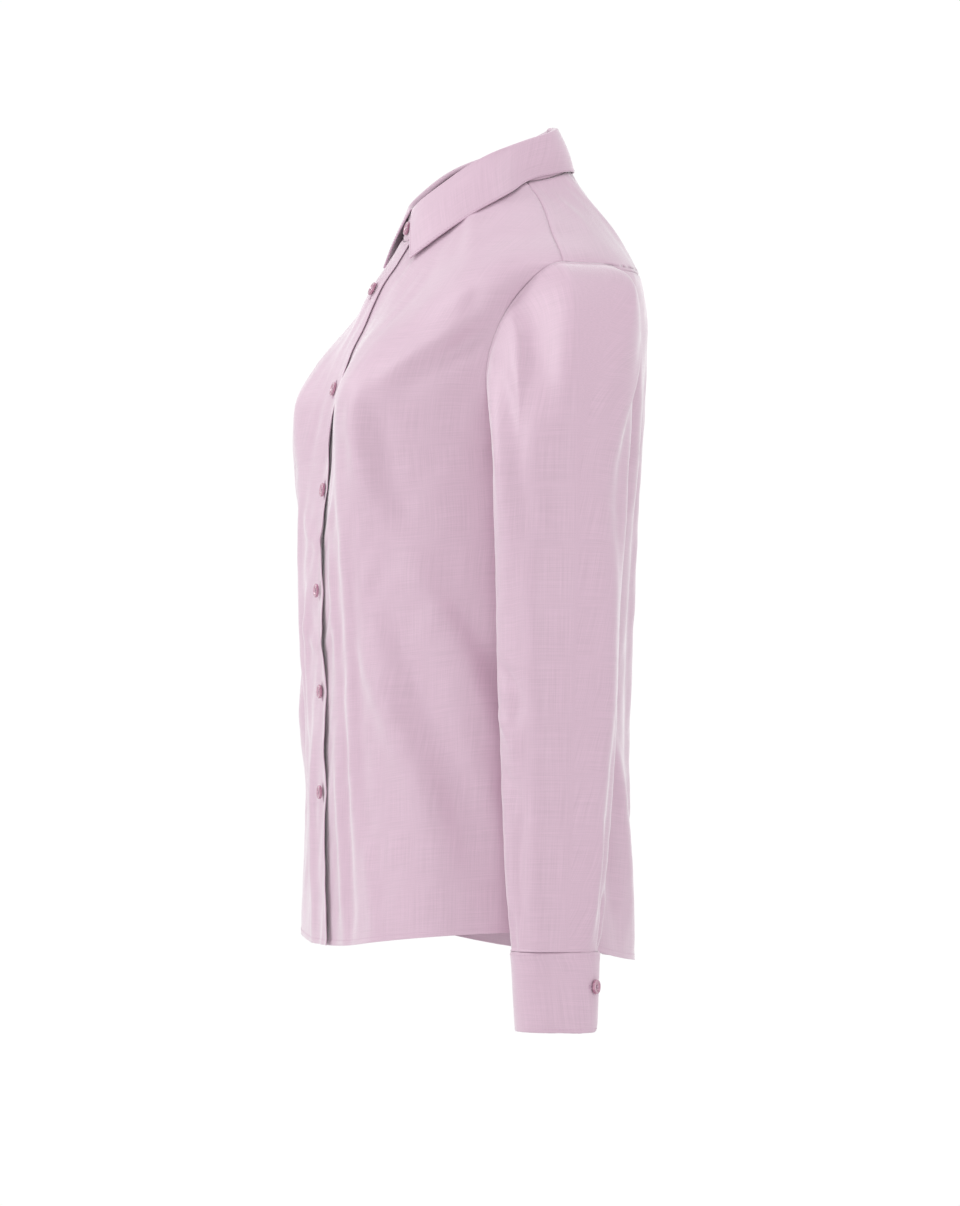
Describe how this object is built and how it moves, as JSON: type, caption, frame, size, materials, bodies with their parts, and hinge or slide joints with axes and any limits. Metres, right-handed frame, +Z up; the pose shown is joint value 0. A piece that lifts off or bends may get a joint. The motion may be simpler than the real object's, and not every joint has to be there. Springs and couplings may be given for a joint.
{
  "type": "long sleeve dress shirt",
  "caption": "Buttoned dress shirt with fold-down collar, yoke, full-length set-in sleeves and buttoned cuffs, filled out as worn and open at neck, hem and cuffs.",
  "frame": {"origin": "on the middle plane between the two shoulders, level with the neck ends of the shoulder seams, where the shoulders carry the shirt", "axes": "+Z up the body, -Y out of the buttoned front, +X towards the wearer's left"},
  "size_m": [0.5808, 0.3152, 0.7412],
  "materials": {
    "lilac_shirting": "fine plain weave with a soft satin sheen",
    "rose_button": "pearly, polished"
  },
  "bodies": {
    "root": {"left_front": "lilac_shirting", "right_front": "lilac_shirting", "back": "lilac_shirting", "yoke": "lilac_shirting", "left_sleeve": "lilac_shirting", "right_sleeve": "lilac_shirting", "left_cuff": "lilac_shirting", "right_cuff": "lilac_shirting", "collar_stand": "lilac_shirting", "collar_fall": "lilac_shirting", "front_button_1": "rose_button", "front_button_2": "rose_button", "front_button_3": "rose_button", "front_button_4": "rose_button", "front_button_5": "rose_button", "front_button_6": "rose_button", "collar_button": "rose_button", "left_cuff_button": "rose_button", "right_cuff_button": "rose_button"}
  },
  "joints": []
}
